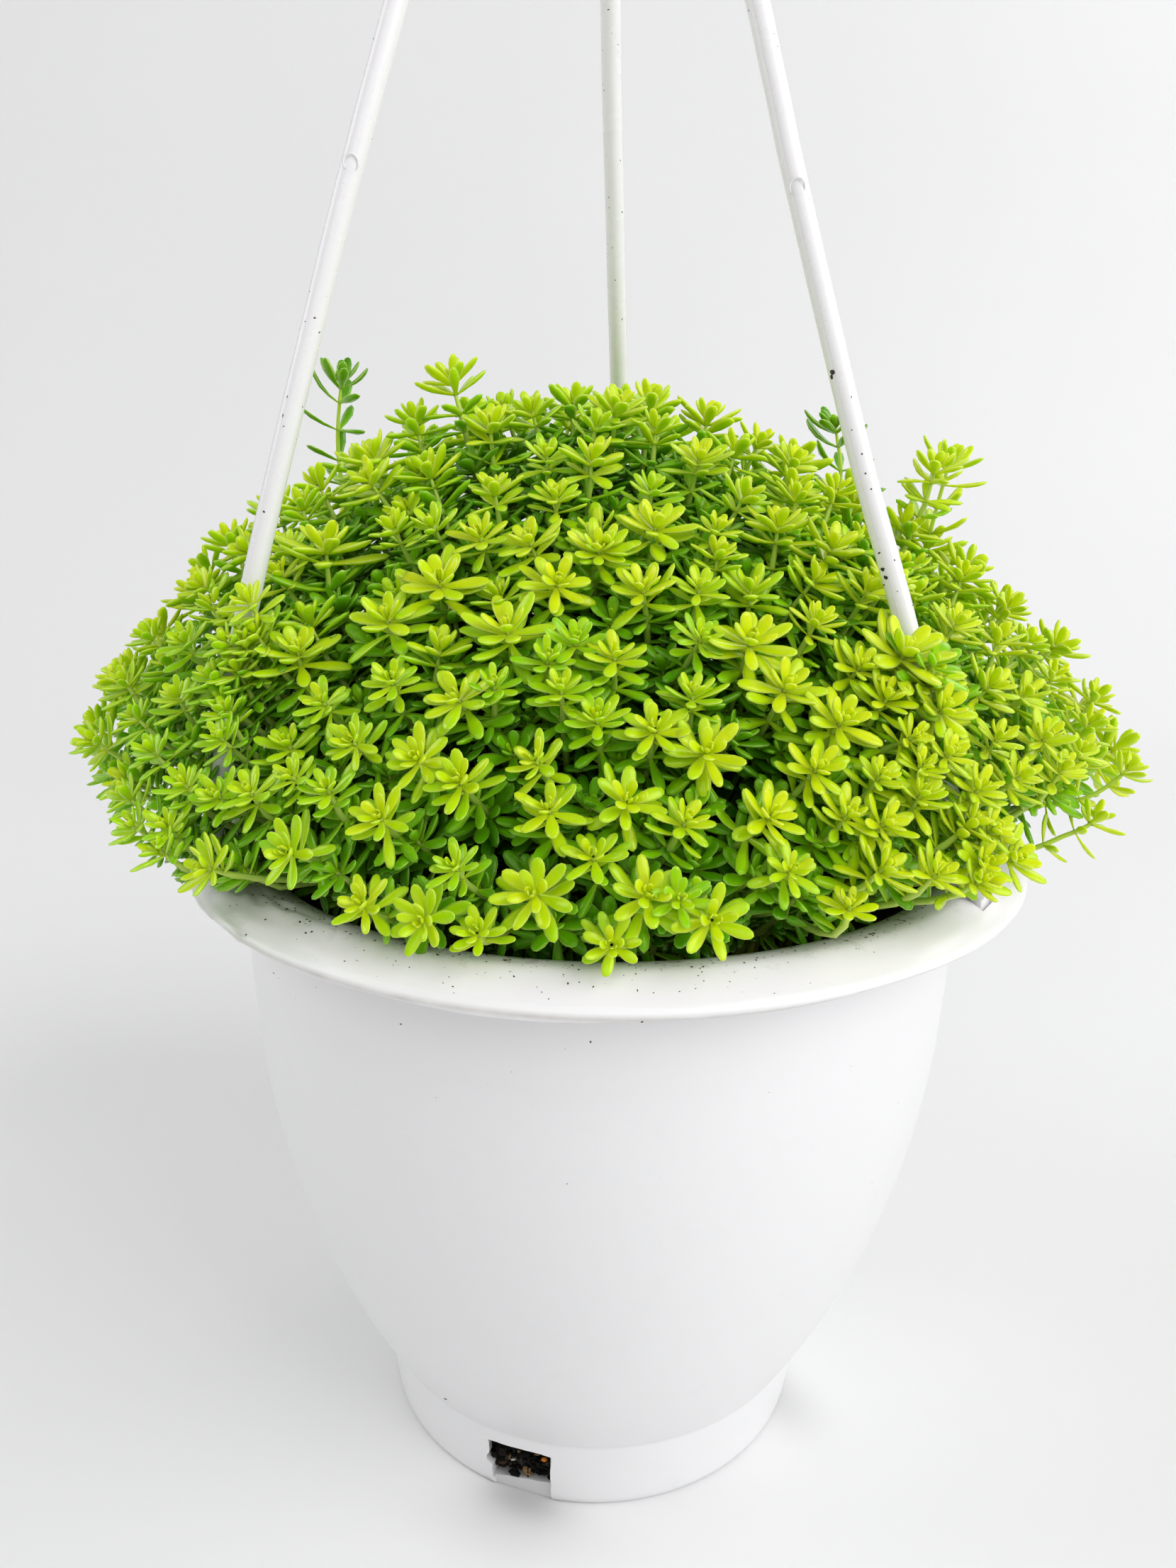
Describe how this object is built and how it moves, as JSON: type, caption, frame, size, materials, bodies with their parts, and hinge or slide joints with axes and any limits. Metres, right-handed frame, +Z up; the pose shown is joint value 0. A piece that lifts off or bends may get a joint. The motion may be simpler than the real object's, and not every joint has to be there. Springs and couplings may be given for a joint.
{
  "type": "potted sedum in hanging planter",
  "caption": "Mound-shaped lime-green sedum with star-like leaf heads in a white hanging pot with a clip-on arm hanger and hook.",
  "frame": {"origin": "middle of the pot's foot ring, on the surface it stands on", "axes": "+Z up through the pot and the hanger; -Y is the front, the side with the drain slot; +X is the viewer's right"},
  "size_m": [0.2388, 0.199, 0.4212],
  "materials": {
    "white_pot_plastic": "satin moulded white, faint grime under the rim",
    "white_hanger_plastic": "satin moulded white",
    "potting_mix_dark": "dark, damp and crumbly; stands in for potting mix",
    "sedum_lime": "waxy lime leaf; stands in for living leaf",
    "sedum_green": "waxy mid-green leaf; stands in for living leaf",
    "sedum_deep": "waxy deep-green leaf; stands in for living leaf"
  },
  "bodies": {
    "root": {"hanger": "white_hanger_plastic", "pot": "white_pot_plastic", "potting_mix": "potting_mix_dark", "sedum_clump_crown": "sedum_deep", "sedum_clump_middle_back_1": "sedum_green", "sedum_clump_middle_back_2": "sedum_green", "sedum_clump_middle_back_left_1": "sedum_lime", "sedum_clump_middle_back_right_1": "sedum_green", "sedum_clump_middle_front_1": "sedum_green", "sedum_clump_middle_front_2": "sedum_deep", "sedum_clump_middle_front_left_1": "sedum_deep", "sedum_clump_middle_front_right_1": "sedum_lime", "sedum_clump_middle_left_1": "sedum_green", "sedum_clump_middle_left_2": "sedum_lime", "sedum_clump_middle_right_1": "sedum_lime", "sedum_clump_middle_right_2": "sedum_green", "sedum_clump_outer_back_1": "sedum_deep", "sedum_clump_outer_back_2": "sedum_lime", "sedum_clump_outer_back_left_1": "sedum_green", "sedum_clump_outer_back_left_2": "sedum_lime", "sedum_clump_outer_back_right_1": "sedum_green", "sedum_clump_outer_back_right_2": "sedum_lime", "sedum_clump_outer_front_1": "sedum_lime", "sedum_clump_outer_front_2": "sedum_lime", "sedum_clump_outer_front_left_1": "sedum_lime", "sedum_clump_outer_front_left_2": "sedum_deep", "sedum_clump_outer_front_right_1": "sedum_deep", "sedum_clump_outer_left_1": "sedum_deep", "sedum_clump_outer_left_2": "sedum_lime", "sedum_clump_outer_right_1": "sedum_lime", "sedum_clump_outer_right_2": "sedum_green", "sedum_clump_upper_back_1": "sedum_lime", "sedum_clump_upper_back_left_1": "sedum_green", "sedum_clump_upper_back_right_1": "sedum_green", "sedum_clump_upper_front_1": "sedum_green", "sedum_clump_upper_front_left_1": "sedum_green", "sedum_clump_upper_front_right_1": "sedum_green"}
  },
  "joints": []
}
